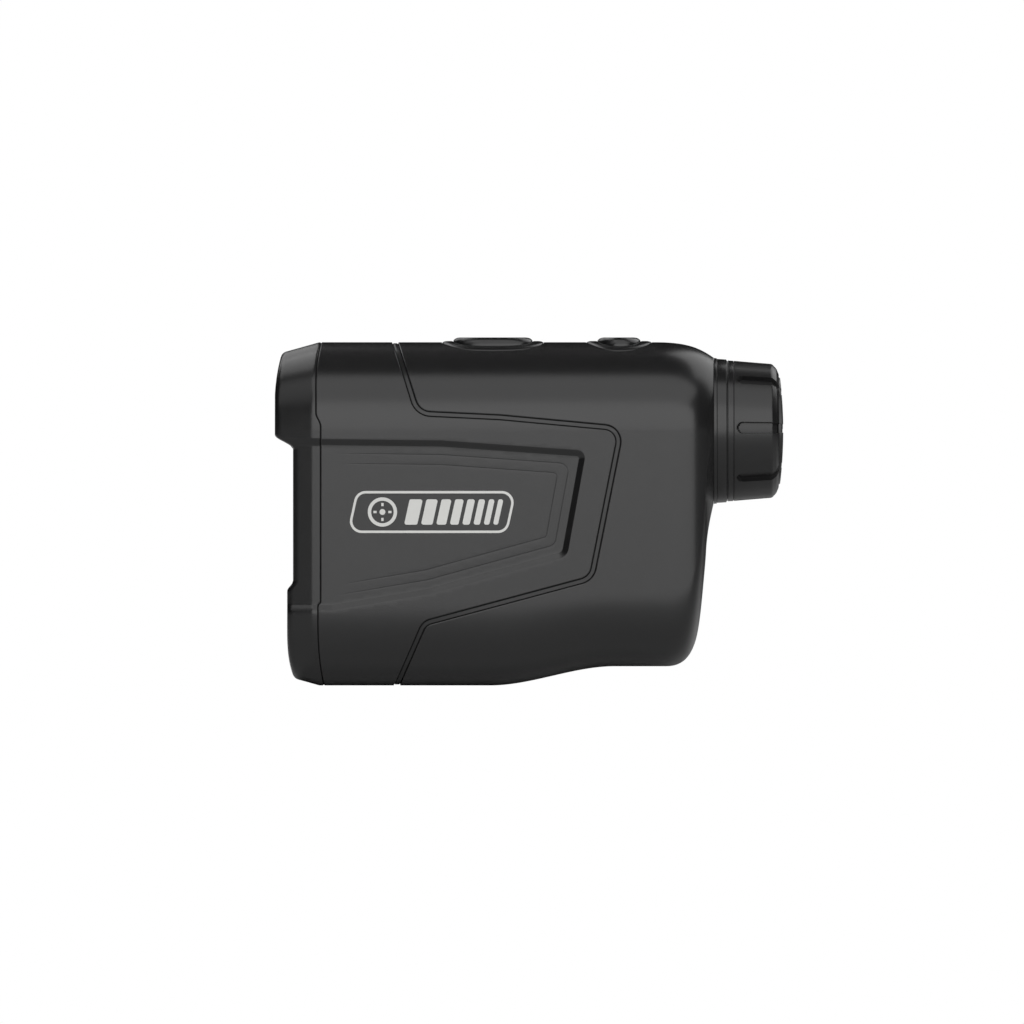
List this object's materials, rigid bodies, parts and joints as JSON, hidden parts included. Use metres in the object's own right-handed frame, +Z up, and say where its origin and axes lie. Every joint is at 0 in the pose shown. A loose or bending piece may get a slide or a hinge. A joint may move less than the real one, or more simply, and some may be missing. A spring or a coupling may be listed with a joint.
{
  "type": "laser rangefinder",
  "caption": "Hand-held monocular laser rangefinder: upright rounded body, two hooded front lenses, top measure and mode buttons, focusing eyepiece, screw battery cap",
  "frame": {"origin": "On the mid plane, level with the flat foot under the body, half way along the overall length", "axes": "+X runs from the objective (front) to the eyepiece (rear), +Z is up, +Y is the right-hand side of someone looking through the eyepiece"},
  "size_m": [0.104, 0.041, 0.0712],
  "materials": {
    "black_shell": "satin black moulded shell with a fine grain",
    "black_panel": "satin black moulded shell with a fine grain",
    "soft_black": "matte soft-touch black",
    "rubber": "matte black rubber",
    "coated_glass": "polished, anti-reflection coated",
    "clear_glass": "polished",
    "black_anodised": "turned and black anodised",
    "frame_plastic": "glass-filled moulding, matte",
    "board_green": "solder-masked laminate",
    "chip_black": "moulded package",
    "steel": "plain",
    "brass": "plain",
    "battery_wrap": "sleeved cell, plain blue film"
  },
  "bodies": {
    "body": {"rear_housing": "black_shell", "front_housing": "black_panel", "front_bezel": "soft_black", "measure_trim": "soft_black", "mode_trim": "soft_black", "eyepiece_collar": "soft_black", "housing_seal": "rubber", "objective_o_ring": "rubber", "receiver_o_ring": "rubber", "collar_o_ring": "rubber", "objective_lens": "coated_glass", "receiver_lens": "coated_glass", "laser_collimator": "coated_glass", "half_penta_prism": "clear_glass", "roof_prism": "clear_glass", "lcd_display": "clear_glass", "objective_barrel": "black_anodised", "objective_retainer": "black_anodised", "receiver_barrel": "black_anodised", "receiver_retainer": "black_anodised", "field_stop": "black_anodised", "collar_nut": "black_anodised", "optical_frame": "frame_plastic", "prism_holder": "frame_plastic", "battery_sleeve": "frame_plastic", "button_board": "board_green", "apd_board": "board_green", "main_board": "board_green", "measure_switch": "chip_black", "mode_switch": "chip_black", "mcu_chip": "chip_black", "boost_coil": "chip_black", "frame_screw_1": "steel", "frame_screw_2": "steel", "frame_screw_3": "steel", "frame_screw_4": "steel", "board_screw_1": "steel", "board_screw_2": "steel", "apd_sensor": "steel", "receiver_shield": "steel", "laser_diode": "steel", "battery_spring": "steel", "laser_tube": "brass", "battery": "battery_wrap"},
    "measure_button": {"measure_button": "soft_black"},
    "mode_button": {"mode_button": "soft_black"},
    "eyecup_ring": {"diopter_ring": "soft_black", "eyecup": "rubber"},
    "ocular": {"eyepiece_cell": "black_anodised", "field_lens": "coated_glass", "eye_lens": "coated_glass", "cell_spacer": "black_anodised", "cell_retainer": "black_anodised", "guide_pin": "steel"},
    "cap_seal": {"battery_cap_seal": "rubber"},
    "cap": {"battery_cap": "soft_black", "battery_contact": "brass"}
  },
  "joints": [
    {"name": "measure_press", "type": "slide", "parent": "body", "child": "measure_button", "axis": [0, 0, -1], "range_m": [0, 0.0006], "stiffness_N_per_m": 300, "springref_m": -0.001},
    {"name": "mode_press", "type": "slide", "parent": "body", "child": "mode_button", "axis": [0, 0, -1], "range_m": [0, 0.0006], "stiffness_N_per_m": 300, "springref_m": -0.001},
    {"name": "diopter_turn", "type": "hinge", "parent": "body", "child": "eyecup_ring", "pos_m": [0.0412, 0, 0.0521], "axis": [1, 0, 0], "range_deg": [-75, 75]},
    {"name": "ocular_slide", "type": "slide", "parent": "body", "child": "ocular", "axis": [1, 0, 0], "range_m": [-0.0012, 0.0012]},
    {"name": "cap_lift", "type": "slide", "parent": "body", "child": "cap_seal", "axis": [1, 0, 0], "range_m": [0, 0.003]},
    {"name": "cap_turn", "type": "hinge", "parent": "cap_seal", "child": "cap", "pos_m": [0.0305, 0, 0.0175], "axis": [1, 0, 0], "range_deg": [0, 720]}
  ],
  "couplings": [
    {"joint": "diopter_turn", "follows": "ocular_slide", "rad_per_m": 1090},
    {"joint": "cap_turn", "follows": "cap_lift", "rad_per_m": 4188}
  ]
}
